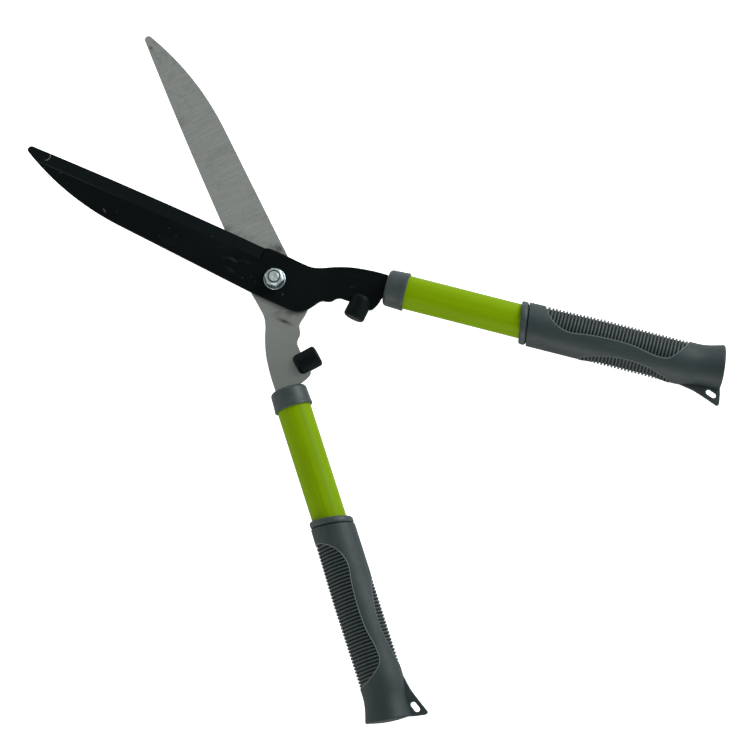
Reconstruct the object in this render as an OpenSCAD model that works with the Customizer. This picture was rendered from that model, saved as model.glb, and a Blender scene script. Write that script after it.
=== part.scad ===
// Hedge shears: two blades with long tubular handles that turn on one bolt.
// Both halves are the same plate, tube and grip, one of them turned over.
// +Z runs along the bolt towards its nut and +Y towards the blade tips. The origin
// is on the bolt's axis, at the plane where the two blades slide on each other.
// Each piece is described for the upper half with the shears closed, then turned
// out to the rest opening; the lower half is the same piece turned over.

/* [Opening] */
// Angle that each half is turned out from closed
rest_turn = 17.5; // [0:0.1:45]
// Angle by which both handles lean to one side of the blades' centre line
handle_lean = 2.2; // [0:0.1:2.5]

/* [Blades] */
// Thickness of a blade plate
blade_t = 3; // [2.5:0.1:4]
// Gap between the sliding faces of the two blades
shear_gap = 0.1; // [0.06:0.01:0.3]
// Distance from the bolt to the end of the tip
blade_l = 221; // [190:1:250]
// How far the lower blade's tip reaches past the upper one's
tip_lead = 2.2; // [0:0.1:3]
// Distance from the centre line to the back edge beside the bolt
back_x = 17.2; // [16:0.1:18]
// Distance from the centre line to the back edge where it is widest
belly_x = 18.4; // [17.5:0.1:20]
// Distance from the centre line to the cutting edge at its heel
heel_x = 18.5; // [17:0.1:19]
// Distance along the blade from the bolt to the heel of the cutting edge
heel_y = 18; // [16:0.5:22]
// Distance along the blade at which the back edge starts to curve to the tip
belly_y = 130; // [100:1:150]
// Radius of the tip
tip_r = 3; // [2:0.1:4]
// Distance from the centre line to the middle of the tip
tip_x = 2.8; // [0:0.1:5]
// How far the cutting edge bulges out at its middle
edge_bow = 1.2; // [0.2:0.1:1.5]
// Width of the bevel along the cutting edge
bevel_w = 9.4; // [7:0.1:11]
// Thickness left at the cutting edge
edge_t = 1; // [0.8:0.1:1.6]

/* [Pivot] */
// Diameter of the bolt
bolt_d = 8; // [6:0.5:8]
// Width across the flats of the bolt head and the nut
hex_af = 13; // [12:0.5:14]
// Height of the bolt head
head_h = 5.3; // [4:0.1:6]
// Outer diameter of the washer under the bolt head
washer_d = 16; // [15:0.5:18]
// Thickness of the washer under the bolt head
washer_t = 1.6; // [1:0.1:2]
// Diameter of the nut's flange
flange_d = 16.8; // [16:0.1:19]
// Height of the nut
nut_h = 9.4; // [8.5:0.1:10.5]
// Thickness of the disc spring's sheet
spring_t = 0.6; // [0.4:0.1:0.8]

/* [Handles] */
// Angle of a handle to the centre line, shears closed
handle_angle = 11; // [8:0.5:14]
// Distance from the bolt to the line of the handle's axis
handle_off = 16.2; // [14:0.1:18]
// Outer diameter of the handle tube
tube_d = 26; // [25:0.1:26.1]
// Wall of the handle tube
tube_wall = 1; // [0.8:0.1:1.5]
// Distance along the handle to the front of the collar
collar_s = 84; // [83:0.5:86]
// Length of the collar
collar_l = 16; // [14:0.5:20]
// Outer diameter of the collar
collar_d = 29.6; // [29:0.1:31]
// Diameter of the pin through the tube and the tang
pin_d = 4; // [3:0.5:5]
// Diameter of the rubber stop
stop_d = 16.6; // [13:0.1:17]
// Length of the rubber stop
stop_l = 19.2; // [17:0.1:20]

/* [Grips] */
// Distance along the handle to the front of the grip
grip_s = 190; // [180:1:195]
// Length of the grip
grip_l = 156; // [154:1:158]
// Diameter of the ring at the front of the grip
ring_d = 34.8; // [34.4:0.1:36]
// Distance from one rib to the next
rib_pitch = 2.66; // [2.5:0.01:2.9]
// Angle by which the butt of the grip turns outward
butt_tilt = 7.5; // [6:0.5:8]
// Thickness of the fin that carries the hanging hole
fin_t = 4; // [3:0.5:6]

/* [Hidden] */
$fn = 96;

fit = 0.05;                           // radial clearance of a close fit
slip = 0.02;                          // end play between faces that turn on each other
eps = 0.5;                            // how far a cutter runs past a face
mid_z = (shear_gap + blade_t) / 2;    // middle of the upper plate
face_z = shear_gap / 2 + blade_t;     // outer face of the upper plate
edge_a = atan((heel_x - tip_x - tip_r) / (blade_l - tip_r - heel_y));
spring_h = spring_t + 0.35;
spring_d = 16;
nut_z = face_z + slip + spring_h;
insert_h = 2.2;

// Tang
tongue_w = 18;                        // width of the tang inside the tube
tongue_end = 142;                     // end of the tang along the handle
stop_y = -67.2;                       // place of the rubber stop along the blade's line
lug_w = 9;                            // width of the lug that the stop is pushed on
stop_seat = 9.6;                      // inner edge of the tang at the stop
lug_x = 3.2;                          // end of the lug
stop_x = -1.1;                        // face of the stop, just past the closing plane
pin_s = 94;
plug_s = 87.4;
plug_l = 62;
tube_s = 87;
tube_end = 328;

// Grip
ring_l = 5.4;                         // length of the ring
core_end = 316.8;
shell_s = grip_s + ring_l + 0.6;
waist_s = 318;                        // where the butt turns outward, as a mitre
shell_r = 17.25;                      // radius of the shell at its front
waist_r = 16.95;                      // radius of the shell at its waist
sleeve_r = 15.2;                      // radius of the core between its ribs
rib_drop = 0.5;                       // how far the ribs lie below the shell
rib_s = 203;                          // first rib
rib_foot = 1.8;                       // width of a rib at its foot
rib_count = floor((core_end - rib_foot - rib_s) / rib_pitch) + 1;
grip_end = grip_s + grip_l;

function turned(p, a) = [p.x * cos(a) - p.y * sin(a), p.x * sin(a) + p.y * cos(a)];
function turned_all(points, a) = [for (p = points) turned(p, a)];

// Point on the plate at distance s along the handle and x outward of its axis
function by_handle(s, x) = [
    (handle_off + x) * cos(handle_angle) + s * sin(handle_angle),
    (handle_off + x) * sin(handle_angle) - s * cos(handle_angle)];

// Smooth curve through a list of points, with so many steps between neighbours
function blend(a, b, c, d, t) =
    b + t * (c - a) / 2
    + t * t * (a - 2.5 * b + 2 * c - d / 2)
    + t * t * t * (1.5 * (b - c) + (d - a) / 2);
function curve(p, steps = 5) = [
    for (i = [0 : len(p) - 2], k = [0 : steps - 1])
        blend(p[max(i - 1, 0)], p[i], p[i + 1], p[min(i + 2, len(p) - 1)], k / steps),
    p[len(p) - 1]];

// Radius of the grip's shell at a distance s along the handle
function grip_r(s) =
    shell_r + (waist_r - shell_r) * min(1, max(0, (s - shell_s) / (waist_s - 2 - shell_s)));

function rib_r(s) = grip_r(s) - rib_drop;

// Places a piece on the handle: its z runs along the handle, its x outward
module on_handle() {
    translate([handle_off * cos(handle_angle), handle_off * sin(handle_angle), mid_z])
        rotate([0, 0, handle_angle])
            rotate([90, 0, 0])
                children();
}

module upper(lean = 0) {
    rotate([0, 0, rest_turn + lean]) children();
}

module lower(lean = 0) {
    rotate([0, 180, 0]) rotate([0, 0, rest_turn - lean]) children();
}

// ---- blades ----

// One point list for the plate: cutting edge, boss, tang and back, leaning at the handle
function plate_points(lean, l) = let (
    tip = [tip_x, l - tip_r],
    edge = [for (i = [12 : -1 : 0]) let (t = i / 12)
        [heel_x, heel_y] + t * (tip + tip_r * [1, 0] - [heel_x, heel_y])
        + 4 * t * (1 - t) * edge_bow * [1, 0]],
    boss = [[heel_x + 0.9, heel_y - 1.6], [20, 12]],
    outer = curve([[20.7, 1], [20.6, -12], [21.1, -21], [23.8, -28.2], [28.7, -36.7],
        [33.6, -47.2], [37, -57.8], [39.4, -67.8], by_handle(82, 9.4)]),
    tongue = [by_handle(83.4, tongue_w / 2), by_handle(tongue_end - 5, tongue_w / 2),
        by_handle(tongue_end, 5), by_handle(tongue_end, -5),
        by_handle(tongue_end - 5, -tongue_w / 2), by_handle(83.4, -tongue_w / 2)],
    throat = curve([by_handle(82.6, -10.4), [18.6, -79.9], [13.5, -78.6], [10.4, -76.6],
        [stop_seat, -73]]),
    lug = [[stop_seat, stop_y - lug_w / 2], [lug_x, stop_y - lug_w / 2],
        [lug_x, stop_y + lug_w / 2], [stop_seat, stop_y + lug_w / 2]],
    crotch = curve([[stop_seat, stop_y + stop_d / 2 + 0.2], [9.2, -55.5], [8.6, -51.6], [6.6, -48.8],
        [4.3, -47.3], [2.7, -45.4], [1.6, -42.6], [0.6, -40], [-1.6, -38], [-5.6, -35.8],
        [-10.2, -32.8], [-13.9, -29], [-15.8, -24.4], [-16.4, -18]]))
    concat(edge, boss, turned_all(concat(outer, tongue, throat, lug, crotch), lean),
        [[-back_x, 8], [-belly_x, belly_y], tip]);

// Plate with its round tip and the long curve of the back edge
module plate(lean, l) {
    tip = [tip_x, l - tip_r];
    run = belly_x + tip_x;
    rise = tip.y - belly_y;
    belly_r = (run * run + rise * rise - tip_r * tip_r) / (2 * (run - tip_r));
    belly = [belly_r - belly_x, belly_y];
    back_end = belly + (tip - belly) * (belly_r + 1) / norm(tip - belly);
    linear_extrude(blade_t) polygon(plate_points(lean, l));
    translate(tip) cylinder(r = tip_r, h = blade_t);
    linear_extrude(blade_t)
        intersection() {
            translate(belly) circle(r = belly_r, $fn = 360);
            polygon([[0, belly_y], tip, back_end, [-belly_x - 1, back_end.y],
                [-belly_x - 1, belly_y]]);
        }
}

// Removes the bevel along the cutting edge from the outer face
module bevel_cut() {
    slope = (blade_t - edge_t) / bevel_w;
    over = 4;
    translate([heel_x, heel_y, face_z])
        rotate([0, 0, edge_a])
            rotate([-90, 0, 0])
                linear_extrude(blade_l)
                    polygon([[-bevel_w, 0], [-bevel_w, -eps], [over, -eps],
                        [over, slope * (bevel_w + over)]]);
}

module blade_plate(lean, l) {
    difference() {
        translate([0, 0, shear_gap / 2]) plate(lean, l);
        bevel_cut();
        cylinder(d = bolt_d + 2 * fit, h = 3 * blade_t, center = true);
        rotate([0, 0, lean])
            on_handle()
                translate([0, 0, pin_s])
                    rotate([90, 0, 0])
                        cylinder(d = pin_d + 2 * fit, h = 3 * blade_t, center = true);
    }
}

// ---- handle pieces, upper half, shears closed ----

// Rubber stop: a round buffer, slotted to straddle the tang's edge and its lug
module rubber_stop() {
    round_r = 2;
    r = stop_d / 2;
    slot_t = blade_t + 2 * fit;
    difference() {
        translate([stop_x, stop_y, mid_z])
            rotate([0, 90, 0])
                rotate_extrude() {
                    square([r - round_r, stop_l]);
                    translate([0, round_r]) square([r, stop_l - 2 * round_r]);
                    translate([r - round_r, round_r]) circle(r = round_r);
                    translate([r - round_r, stop_l - round_r]) circle(r = round_r);
                }
        translate([stop_seat - fit, stop_y - r - eps, mid_z - slot_t / 2])
            cube([stop_l, stop_d + 2 * eps, slot_t]);
        translate([lug_x - fit, stop_y - lug_w / 2 - fit, mid_z - slot_t / 2])
            cube([stop_l, lug_w + 2 * fit, slot_t]);
    }
}

// Collar: plastic cap over the tube's end, with a slot for the tang
module collar() {
    r = collar_d / 2;
    front_t = 2.6;
    front_r = r - 0.7;
    nose_r = 2.4;
    on_handle()
        translate([0, 0, collar_s])
            difference() {
                rotate_extrude() {
                    difference() {
                        union() {
                            polygon([[0, 0], [front_r - nose_r, 0], [front_r, nose_r],
                                [r - 0.2, collar_l - 1.6], [r, collar_l - 1.2],
                                [r, collar_l], [0, collar_l]]);
                            translate([front_r - nose_r, nose_r]) circle(r = nose_r);
                        }
                        translate([0, front_t]) square([tube_d / 2 + fit, collar_l]);
                        translate([-2 * r, -eps]) square([2 * r, collar_l + 2 * eps]);
                    }
                }
                cube([tongue_w + 2 * fit, blade_t + 2 * fit, 4 * front_t], center = true);
            }
}

module pin_hole(s) {
    translate([0, 0, s])
        rotate([90, 0, 0])
            cylinder(d = pin_d + 2 * fit, h = 2 * tube_d, center = true);
}

module tube() {
    on_handle()
        difference() {
            translate([0, 0, tube_s]) cylinder(d = tube_d, h = tube_end - tube_s);
            translate([0, 0, tube_s - eps])
                cylinder(d = tube_d - 2 * tube_wall, h = tube_end - tube_s + 2 * eps);
            pin_hole(pin_s);
        }
}

// Plug that fills the tube round the tang
module tang_plug() {
    plug_r = tube_d / 2 - tube_wall - fit;
    on_handle()
        difference() {
            translate([0, 0, plug_s]) cylinder(r = plug_r, h = plug_l);
            translate([-tongue_w / 2 - fit, -blade_t / 2 - fit, plug_s - eps])
                cube([tongue_w + 2 * fit, blade_t + 2 * fit, tongue_end - plug_s + 2 * eps]);
            pin_hole(pin_s);
        }
}

// Slotted spring pin through tube, plug and tang, hidden by the collar
module tang_pin() {
    wall = 0.8;
    l = tube_d - 0.6;
    on_handle()
        translate([0, 0, pin_s])
            rotate([90, 0, 0])
                difference() {
                    cylinder(d = pin_d, h = l, center = true, $fn = 48);
                    cylinder(d = pin_d - 2 * wall, h = l + 2 * eps, center = true, $fn = 48);
                    translate([0, -0.4, -l]) cube([pin_d, 0.8, 2 * l]);
                }
}

// Hard core of the grip: a front ring and a sleeve of ribs, seen through the windows
module grip_core() {
    top_w = 1.35;
    flank = (rib_foot - top_w) / 2;
    ribs = [for (i = [0 : rib_count - 1]) let (s = rib_s + i * rib_pitch, r = rib_r(s))
        each [[sleeve_r, s], [r, s + flank], [r, s + flank + top_w], [sleeve_r, s + rib_foot]]];
    ring_r = ring_d / 2;
    bore_r = tube_d / 2 + fit;
    on_handle()
        rotate_extrude()
            polygon(concat([[bore_r, grip_s], [ring_r - 0.8, grip_s], [ring_r, grip_s + 0.8],
                [ring_r, grip_s + ring_l - 0.8], [ring_r - 0.6, grip_s + ring_l],
                [sleeve_r, grip_s + ring_l]], ribs, [[sleeve_r, core_end], [bore_r, core_end]]));
}

// Everything beyond the slanted plane where the butt meets the sleeve
module beyond_mitre() {
    translate([0, 0, waist_s])
        rotate([0, butt_tilt / 2, 0])
            translate([-40, -40, 0]) cube([80, 80, 60]);
}

// Outer form of the shell from its front to the mitre, a slender cone
module sleeve_form() {
    nose = 0.7;
    difference() {
        rotate_extrude()
            polygon([[0, shell_s], [shell_r - nose, shell_s], [shell_r, shell_s + nose],
                [waist_r, waist_s - 2], [waist_r, waist_s + 3], [0, waist_s + 3]]);
        beyond_mitre();
    }
}

// Butt of the grip: a hair slimmer than the sleeve where they meet, it leans outward,
// narrows, then flares to a slightly domed end
module butt() {
    l = grip_end - waist_s;
    step = 0.1;
    flare = curve([[waist_r - step, 2], [16.3, 6], [15.9, 10], [15.9, 15], [16.5, 20.5],
        [17.3, l - 2], [17.5, l - 1]], 3);
    intersection() {
        translate([0, 0, waist_s])
            rotate([0, butt_tilt, 0])
                rotate_extrude()
                    polygon(concat([[0, -3], [waist_r - step, -3]], flare,
                        [[17.3, l - 0.3], [16.5, l], [9, l + 1.2], [0, l + 1.6]]));
        beyond_mitre();
    }
}

// Thin fin on the inner side of the butt, with a slanted slot to hang it by
module hang_fin() {
    hole = [[-17.2, 340.4], [-18.9, 345]];
    hole_r = 2.2;
    way = hole[1] - hole[0];
    rotate([90, 0, 0])
        translate([0, 0, -fin_t / 2])
            linear_extrude(fin_t)
                difference() {
                    polygon(concat(curve([[-15.6, 312], [-17, 319], [-18.8, 329],
                        [-21.8, 338], [-25, 346.5], [-25.7, 348.8], [-24.9, 350.2],
                        [-22.8, 350.4]], 3), [[-9, 347.6], [-9, 321]]));
                    for (p = hole)
                        translate(p) circle(r = hole_r, $fn = 48);
                    translate(hole[0])
                        rotate(atan2(way.y, way.x))
                            translate([0, -hole_r]) square([norm(way), 2 * hole_r]);
                }
}

// Windows in the shell, cut straight through from top to bottom: a large outer one and
// a shallow inner arch
module window_cuts() {
    outer_edge = curve([[17.6, 204.4], [12.6, 206], [6.4, 210], [1.4, 215.5], [-1.7, 222],
        [-2.9, 230], [-1.5, 240], [-0.5, 252], [-0.2, 266], [-0.8, 278], [-2.7, 288],
        [-4, 298], [-3.1, 304.5], [0, 308.6], [5.2, 312.6], [11, 316], [17.6, 318.2]], 4);
    inner_s = 236;
    inner_l = 78;
    inner_edge = [for (i = [0 : 20]) let (t = i / 20)
        [-shell_r - 0.3 + 6.4 * sin(180 * t), inner_s + inner_l * t]];
    rotate([90, 0, 0])
        translate([0, 0, -25])
            linear_extrude(50) {
                polygon(concat(outer_edge, [[24, 318.2], [24, 204.4]]));
                polygon(concat(inner_edge, [[-24, inner_s + inner_l], [-24, inner_s]]));
            }
}

// Space inside the shell for the core and, deeper in the butt, for the tube's end
module core_space() {
    bore_r = tube_d / 2 + fit;
    space_end = core_end + 0.2;
    translate([0, 0, shell_s - eps])
        cylinder(r1 = rib_r(shell_s) + fit, r2 = rib_r(space_end) + fit,
            h = space_end - shell_s + eps);
    translate([0, 0, space_end - eps])
        cylinder(r = bore_r, h = tube_end + 0.5 - space_end + eps);
}

// Soft outer shell of the grip with its windows, butt and fin
module grip_shell() {
    on_handle()
        difference() {
            union() {
                sleeve_form();
                butt();
                hang_fin();
            }
            core_space();
            window_cuts();
        }
}

// ---- pivot ----

module hexagon(h) {
    cylinder(d = hex_af / cos(30), h = h, $fn = 6);
}

module pivot_bolt() {
    head_z = -face_z - washer_t;
    end_z = nut_z + nut_h + 0.9;
    chamfer = 0.7;
    r = bolt_d / 2;
    color("silver") {
        rotate_extrude()
            polygon([[0, head_z - 0.1], [r, head_z - 0.1], [r, end_z - chamfer],
                [r - chamfer, end_z], [0, end_z]]);
        intersection() {
            translate([0, 0, head_z - head_h]) hexagon(head_h);
            rotate_extrude()
                polygon([[0, head_z - head_h], [hex_af / 2 - 0.3, head_z - head_h],
                    [hex_af / 2 + 2, head_z - head_h + 1.3], [hex_af / 2 + 2, head_z],
                    [0, head_z]]);
        }
    }
}

module bolt_washer() {
    color("gainsboro")
        translate([0, 0, -face_z - washer_t])
            difference() {
                cylinder(d = washer_d, h = washer_t);
                translate([0, 0, -eps]) cylinder(d = bolt_d + 0.4, h = washer_t + 2 * eps);
            }
}

// Shallow cone of spring sheet that keeps the blades pressed together
module disc_spring() {
    inner_r = bolt_d / 2 + 0.2;
    color("gray")
        translate([0, 0, face_z + slip])
            rotate_extrude()
                polygon([[inner_r, spring_h - spring_t], [spring_d / 2, 0],
                    [spring_d / 2, spring_t], [inner_r, spring_h]]);
}

// Flanged hexagon nut whose round neck holds a nylon ring
module pivot_nut() {
    flange_t = 1.3;
    hex_top = 6.9;
    neck_r = 6.2;
    bore_r = bolt_d / 2 + fit;
    color("silver")
        translate([0, 0, nut_z])
            difference() {
                union() {
                    intersection() {
                        hexagon(hex_top);
                        rotate_extrude()
                            polygon([[0, 0], [hex_af, 0], [hex_af, hex_top - 3.4],
                                [neck_r, hex_top], [0, hex_top]]);
                    }
                    rotate_extrude()
                        polygon([[0, 0], [flange_d / 2, 0], [flange_d / 2, flange_t],
                            [hex_af / 2, flange_t + 0.9], [0, flange_t + 0.9]]);
                    rotate_extrude()
                        polygon([[0, 0], [neck_r, 0], [neck_r, nut_h - 1.2],
                            [neck_r - 0.9, nut_h], [0, nut_h]]);
                }
                translate([0, 0, -eps]) cylinder(r = bore_r, h = nut_h + 2 * eps);
                translate([0, 0, nut_h - insert_h])
                    cylinder(r = neck_r - 1.1, h = insert_h - 0.5);
                translate([0, 0, nut_h - 1]) cylinder(r = neck_r - 1.5, h = 2);
            }
}

// Nylon ring that grips the bolt's thread
module nut_insert() {
    color([0.16, 0.2, 0.2])
        translate([0, 0, nut_z + nut_h - insert_h])
            difference() {
                cylinder(r = 6.2 - 1.1 - 0.02, h = insert_h - 0.52);
                translate([0, 0, -eps]) cylinder(r = bolt_d / 2 + 0.01, h = insert_h + 2 * eps);
            }
}

// ---- the two halves ----

BLACK = [0.06, 0.08, 0.08];
STEEL = [0.49, 0.51, 0.49];
RUBBER = [0.1, 0.11, 0.11];
SLATE = [0.24, 0.29, 0.3];
LIME = [0.47, 0.62, 0.04];
NATURAL = [0.85, 0.84, 0.78];

module upper_blade() color(BLACK) upper() blade_plate(handle_lean, blade_l);
module upper_stop() color(RUBBER) upper(handle_lean) rubber_stop();
module upper_collar() color(SLATE) upper(handle_lean) collar();
module upper_tube() color(LIME) upper(handle_lean) tube();
module upper_tang_plug() color(NATURAL) upper(handle_lean) tang_plug();
module upper_tang_pin() color(STEEL) upper(handle_lean) tang_pin();
module upper_grip_core() color(SLATE) upper(handle_lean) grip_core();
module upper_grip_shell() color(SLATE) upper(handle_lean) grip_shell();

module lower_blade() color(STEEL) lower() blade_plate(-handle_lean, blade_l + tip_lead);
module lower_stop() color(RUBBER) lower(handle_lean) rubber_stop();
module lower_collar() color(SLATE) lower(handle_lean) collar();
module lower_tube() color(LIME) lower(handle_lean) tube();
module lower_tang_plug() color(NATURAL) lower(handle_lean) tang_plug();
module lower_tang_pin() color(STEEL) lower(handle_lean) tang_pin();
module lower_grip_core() color(SLATE) lower(handle_lean) grip_core();
module lower_grip_shell() color(SLATE) lower(handle_lean) grip_shell();

upper_blade();
upper_stop();
upper_collar();
upper_tube();
upper_tang_plug();
upper_tang_pin();
upper_grip_core();
upper_grip_shell();
lower_blade();
lower_stop();
lower_collar();
lower_tube();
lower_tang_plug();
lower_tang_pin();
lower_grip_core();
lower_grip_shell();
pivot_bolt();
bolt_washer();
disc_spring();
pivot_nut();
nut_insert();
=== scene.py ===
import math

import bmesh
import bpy
import numpy as np
from mathutils import Matrix, Vector
from mathutils.geometry import delaunay_2d_cdt


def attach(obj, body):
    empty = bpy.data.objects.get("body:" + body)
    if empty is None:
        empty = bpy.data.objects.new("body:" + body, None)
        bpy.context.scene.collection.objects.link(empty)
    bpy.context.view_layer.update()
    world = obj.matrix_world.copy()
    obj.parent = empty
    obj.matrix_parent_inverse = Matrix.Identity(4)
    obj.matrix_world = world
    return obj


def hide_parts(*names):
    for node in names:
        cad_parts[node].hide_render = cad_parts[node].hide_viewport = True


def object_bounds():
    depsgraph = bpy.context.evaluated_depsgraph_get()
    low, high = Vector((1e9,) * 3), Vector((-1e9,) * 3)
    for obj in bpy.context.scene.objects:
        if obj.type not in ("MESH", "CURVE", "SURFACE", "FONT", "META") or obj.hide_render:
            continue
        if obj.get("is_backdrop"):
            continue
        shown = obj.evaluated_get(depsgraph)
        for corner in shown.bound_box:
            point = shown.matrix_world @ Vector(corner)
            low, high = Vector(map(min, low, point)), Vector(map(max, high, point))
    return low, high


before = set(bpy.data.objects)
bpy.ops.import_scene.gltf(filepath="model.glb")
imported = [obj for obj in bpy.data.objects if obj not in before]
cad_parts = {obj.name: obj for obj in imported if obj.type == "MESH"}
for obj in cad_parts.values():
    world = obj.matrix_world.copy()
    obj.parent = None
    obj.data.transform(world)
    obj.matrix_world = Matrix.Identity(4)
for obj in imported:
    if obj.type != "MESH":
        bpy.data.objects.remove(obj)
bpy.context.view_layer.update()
MM = 0.001
HALVES = ("upper", "lower")

# Sizes in millimetres and degrees, as in the CAD. Along a handle, distances start level with the
# bolt; across a blade, they start at the half's own centre line.
FIT = 0.05  # gap between pieces that fit into each other
HANDLE_ANGLE = math.radians(11)  # a handle's lean off its half's centre line
TIP_ANGLE = math.radians(0.73)  # the tip's side of that centre line
BLADE_T = 3.0  # thickness of a blade and its tang
BACK_Z, FACE_Z = FIT, FIT + BLADE_T  # a blade's inner and outer face
BLADE_L, TIP_R, TIP_X = 221.0, 3.0, 2.8
HEEL = np.array([18.5, 18.0])  # where the cutting edge begins
BEVEL_W, EDGE_T = 9.4, 1.0  # width of the bevel, thickness left at the edge
STEP = 0.8  # length of the step down to the bevel at its heel
TANG_W = 18.0
TUBE_S, TUBE_END, TUBE_R, TUBE_WALL = 87.0, 328.0, 13.0, 1.0
COLLAR_S, COLLAR_L, COLLAR_R = 84.0, 16.0, 14.8
PLUG_L, TANG_END = 62.0, 142.5
PIN_S, PIN_R, PIN_WALL, PIN_L = 94.0, 2.0, 0.8, 25.4
GRIP_S, SHELL_S, WAIST_S, GRIP_END = 190.0, 196.0, 318.0, 346.0
RING_R, SHELL_R, WAIST_R = 17.0, 17.25, 16.95
RIB_S, RIB_END, RIB_PITCH, RIB_W = 203.0, 316.8, 2.66, 1.8
BOLT_R, BOLT_END, THREAD_PITCH, HEAD_H = 4.0, 14.32, 1.25, 5.3
HEX_AF = 13.0  # across the flats of the nut and the bolt's head
WASHER_R, WASHER_T, WASHER_BORE = 8.0, 1.6, 4.2
NUT_Z, NUT_H, FLANGE_R, NECK_R = 4.02, 9.4, 8.4, 6.2
INSERT_H = 2.2  # depth of the nut's seat for the nylon ring


# ---- places, read from the CAD

def points(piece):
    """The points of a piece's CAD mesh, in metres."""
    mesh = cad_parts[piece].data
    co = np.zeros(len(mesh.vertices) * 3, np.float32)
    mesh.vertices.foreach_get("co", co)
    return co.reshape(-1, 3).astype(float)


def unit(v):
    """A vector, or every row of vectors, scaled to length 1."""
    return v / np.maximum(np.linalg.norm(v, axis=-1, keepdims=True), 1e-9)


def matrix(x, y, z, origin):
    """Frame from its axes and its origin."""
    return Matrix([(x[i], y[i], z[i], origin[i]) for i in range(3)] + [(0, 0, 0, 1)])


def handle_place(half):
    """Frame of a handle: z along it, x outward, y to the outer face, origin level with the bolt."""
    p = points(half + "_tube")
    c = p.mean(0)
    along = np.linalg.svd(p - c, full_matrices=False)[2][0]
    along[2] = 0
    along = unit(along) * np.sign(along @ c)
    up = np.array([0, 0, 1.0 if half == "upper" else -1.0])

    def ring(end):
        t = (p - c) @ along
        q = p[np.abs(t - end(t)) < 0.5 * MM]
        return (q.min(0) + q.max(0)) / 2
    for _ in range(2):
        along = unit((ring(np.max) - ring(np.min)) * [1, 1, 0])
    side = np.cross(up, along)
    t = (p - c) @ along
    w = (p - c) @ side
    start = c + along * t.min() + side * (w.min() + w.max()) / 2
    start[2] = (p[:, 2].min() + p[:, 2].max()) / 2
    return matrix(side, up, along, start - along * TUBE_S * MM)


def half_place(half):
    """Frame of a half with y to the blade's tip and z to its outer face, origin on the bolt."""
    p = points(half + "_blade")
    tip = p[np.argmax(np.hypot(p[:, 0], p[:, 1]))]
    across = -tip[0] if half == "upper" else tip[0]
    turn = Matrix.Rotation(math.atan2(across, tip[1]) + TIP_ANGLE, 4, "Z")
    return turn if half == "upper" else Matrix.Rotation(math.pi, 4, "Y") @ turn


def tang_place(handle):
    """The half's frame as the handle leans it: x across, y to the tip, z to the outer face."""
    x, up, z = (handle.col[i].to_3d() for i in range(3))
    turn = Matrix.Rotation(-HANDLE_ANGLE if up.z > 0 else HANDLE_ANGLE, 3, "Z")
    return matrix(turn @ x, -(turn @ z), up, (0, 0, 0))


def span(piece, place):
    """Lowest and highest corner of a CAD piece, in millimetres in a frame of its half."""
    inv = np.array(place.inverted())
    p = (points(piece) @ inv[:3, :3].T + inv[:3, 3]) / MM
    return p.min(0), p.max(0)


# ---- mesh building, in millimetres

SHARP = 32                          # degrees between faces from which an edge is shown sharp


class Shape:
    """Points, faces and the faces' material numbers."""

    def __init__(self):
        self.v, self.f, self.m = [], [], []

    def add(self, verts, faces, mat=0):
        base = len(self.v)
        self.v += [tuple(map(float, p)) for p in verts]
        self.f += [tuple(base + i for i in f) for f in faces]
        self.m += list(mat) if isinstance(mat, (list, tuple)) else [mat] * len(faces)
        return self

    def merge(self, other, move=None):
        vs = other.v if move is None else [tuple(move @ Vector(p)) for p in other.v]
        return self.add(vs, other.f, list(other.m))


def revolve(profile, segs=96, wrap=False, mat=0):
    """Solid of revolution about z from rows of (radius, height) or (radius, height, x, lean).

    A radius may be an array over the turn, and mat may be a function of the row's number.
    """
    a = np.arange(segs) * 2 * math.pi / segs
    ca, sa = np.cos(a), np.sin(a)
    verts, rows, faces, mats = [], [], [], []
    for k, entry in enumerate(profile):
        r, h, cx, t = (*entry, 0.0, 0.0)[:4]
        if np.ndim(r) == 0 and r < 1e-6:
            rows.append([len(verts)] * segs)
            verts.append((cx, 0, h))
            continue
        r = np.broadcast_to(r, segs)
        rows.append(list(range(len(verts), len(verts) + segs)))
        verts += list(zip(cx + r * ca * math.cos(t), r * sa, h - r * ca * math.sin(t)))
    pairs = list(zip(range(len(rows) - 1), range(1, len(rows))))
    if wrap:
        pairs.append((len(rows) - 1, 0))
    for i, j in pairs:
        for k in range(segs):
            n = (k + 1) % segs
            q = [rows[i][k], rows[i][n], rows[j][n], rows[j][k]]
            q = [x for x, y in zip(q, q[1:] + q[:1]) if x != y]
            if len(q) > 2:
                faces.append(q)
                mats.append(mat if not callable(mat) else mat(i))
    return Shape().add(verts, faces, mats)


def arc_points(cx, cy, r, a0, a1, n):
    """Points on an arc between two angles in degrees."""
    turns = [math.radians(a0 + (a1 - a0) * i / n) for i in range(n + 1)]
    return [(cx + r * math.cos(a), cy + r * math.sin(a)) for a in turns]


def curve(p, steps=6):
    """Smooth curve through points."""
    p = [np.array(q, float) for q in p]
    out = []
    for i in range(len(p) - 1):
        a, b, c, d = p[max(i - 1, 0)], p[i], p[i + 1], p[min(i + 2, len(p) - 1)]
        for k in range(steps):
            t = k / steps
            out.append(b + t * (c - a) / 2 + t * t * (a - 2.5 * b + 2 * c - d / 2)
                       + t ** 3 * (1.5 * (b - c) + (d - a) / 2))
    out.append(p[-1])
    return np.array(out)


def area(p):
    """Signed area inside a loop, positive anticlockwise."""
    q = np.roll(p, -1, 0)
    return 0.5 * np.sum(p[:, 0] * q[:, 1] - q[:, 0] * p[:, 1])


def resample(p, step):
    """Loop with points added so that no side is longer than step."""
    out = []
    for a, b in zip(p, np.roll(p, -1, 0)):
        n = max(1, int(math.ceil(np.linalg.norm(b - a) / step)))
        out += [a + (b - a) * k / n for k in range(n)]
    return np.array(out)


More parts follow.
